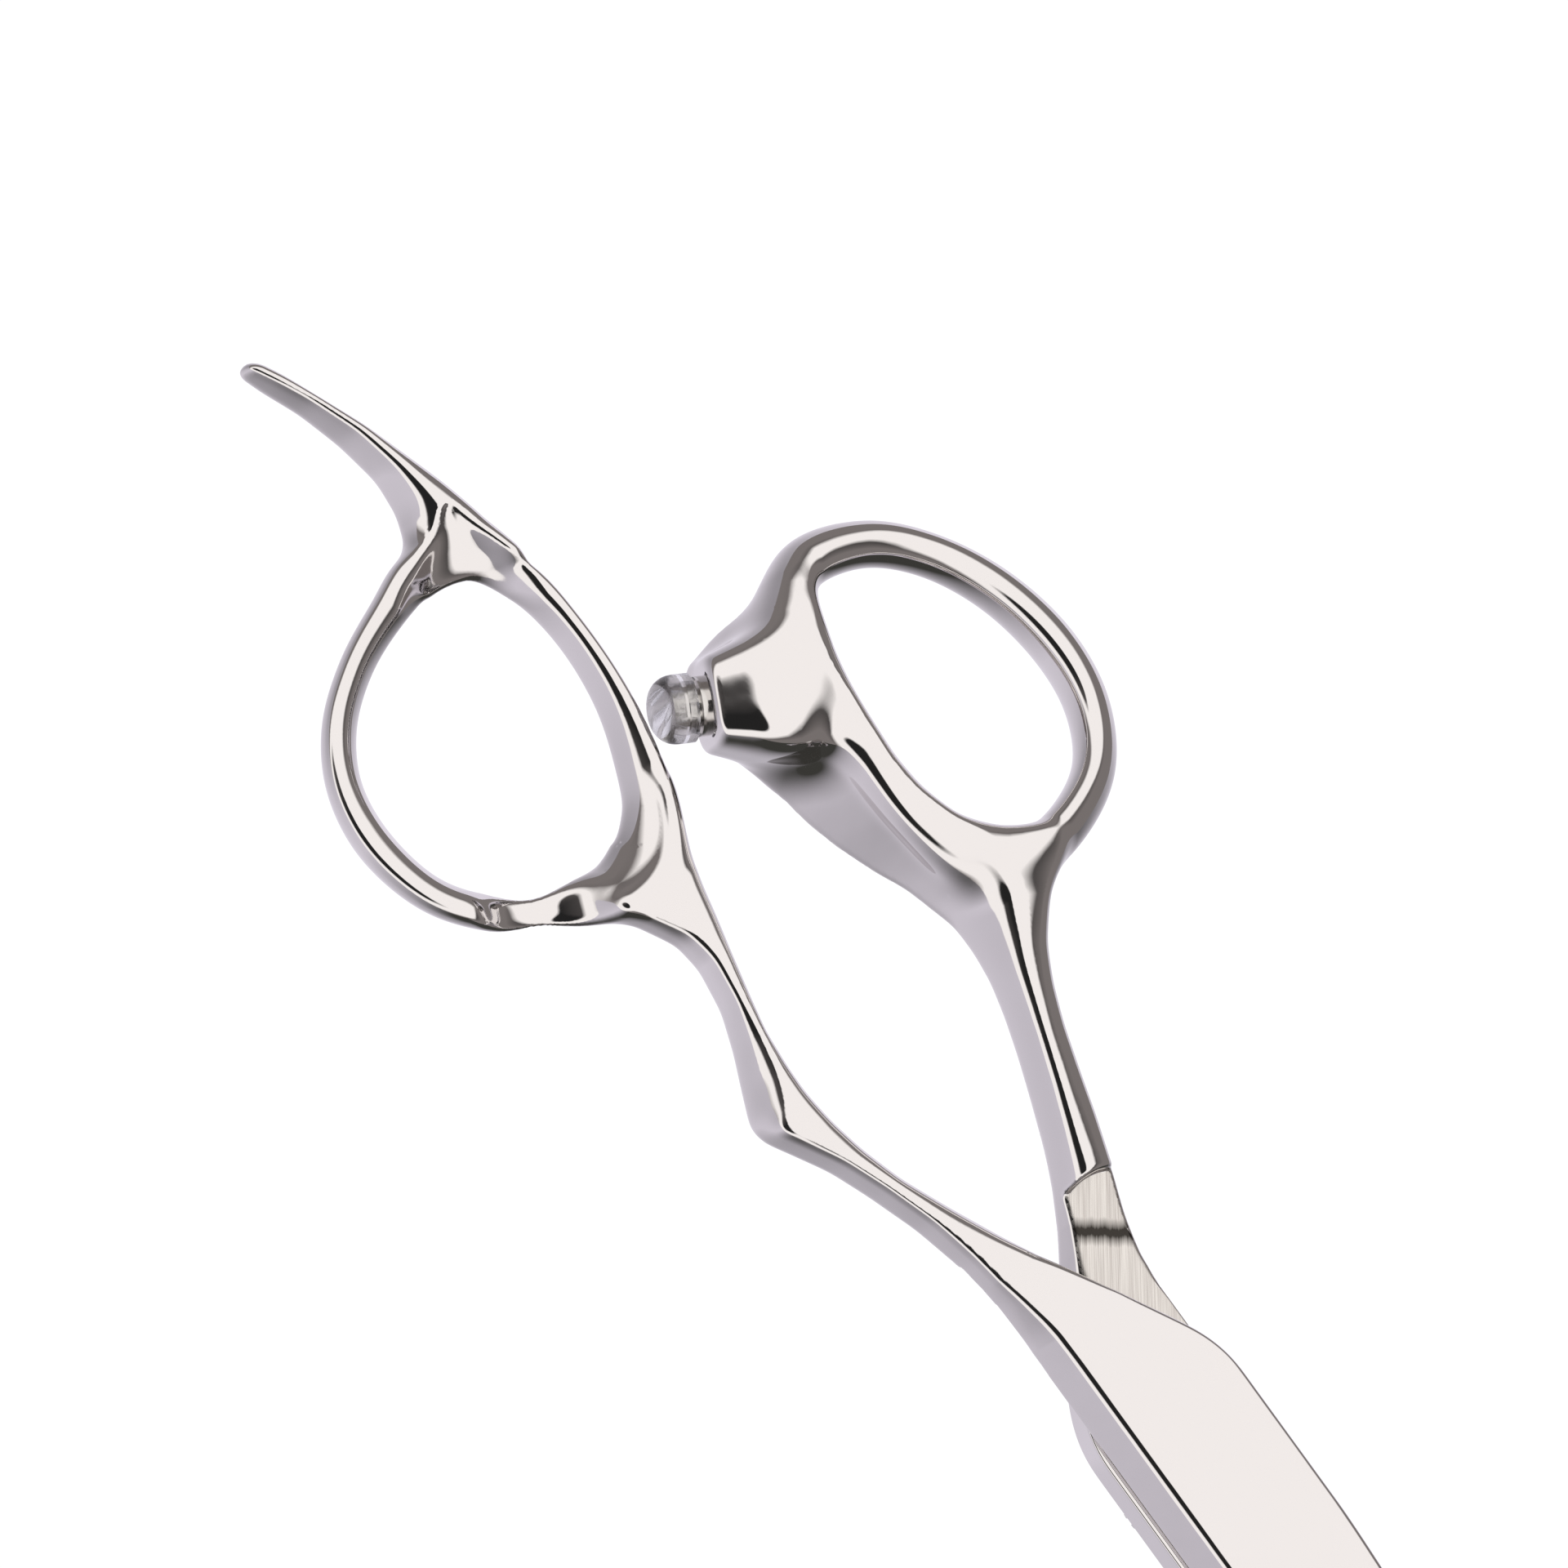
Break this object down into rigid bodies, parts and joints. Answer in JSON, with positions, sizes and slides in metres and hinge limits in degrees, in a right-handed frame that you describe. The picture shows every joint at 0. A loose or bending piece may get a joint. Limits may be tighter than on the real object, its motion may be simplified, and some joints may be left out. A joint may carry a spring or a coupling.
{
  "type": "hair cutting shears",
  "caption": "Offset hair cutting shears with a tilted thumb ring, a fixed finger rest, a clear bumper and a tension dial at the pivot, drawn closed.",
  "frame": {"origin": "centre of the flat outer face of the dial cap, on the pivot axis", "axes": "+X along the closed blades to the tips, +Y to the thumb ring's side, +Z to the finger half's outer face"},
  "size_m": [0.1751, 0.0581, 0.0111],
  "materials": {
    "handle_steel": "mirror polished stainless steel",
    "blade_steel": "mirror polished stainless steel with brushed inner faces",
    "pivot_steel": "turned stainless steel",
    "spring_steel": "tempered spring steel",
    "bushing_bronze": "sintered bronze",
    "washer_nylon": "natural nylon",
    "bumper_clear": "clear soft plastic"
  },
  "bodies": {
    "finger_half": {"finger_handle": "handle_steel", "finger_blade": "blade_steel", "pivot_stud": "pivot_steel", "nylon_washer": "washer_nylon", "spring_washer_inner": "spring_steel", "spring_washer_outer": "spring_steel", "click_plate": "spring_steel", "detent_balls": "pivot_steel", "lock_screw": "pivot_steel"},
    "thumb_half": {"thumb_handle": "handle_steel", "thumb_blade": "blade_steel", "pivot_bushing": "bushing_bronze", "blade_washer": "washer_nylon", "bumper_screw": "pivot_steel", "bumper_cap": "bumper_clear"},
    "dial": {"tension_dial": "pivot_steel", "dial_cap": "pivot_steel"}
  },
  "joints": [
    {"name": "blade_pivot", "type": "hinge", "parent": "finger_half", "child": "thumb_half", "pos_m": [0, 0, 0.0052], "axis": [0, 0, -1], "range_deg": [0, 60]},
    {"name": "tension_turn", "type": "hinge", "parent": "finger_half", "child": "dial", "pos_m": [0, 0, 0.001], "axis": [0, 0, 1], "range_deg": [-90, 90]}
  ]
}
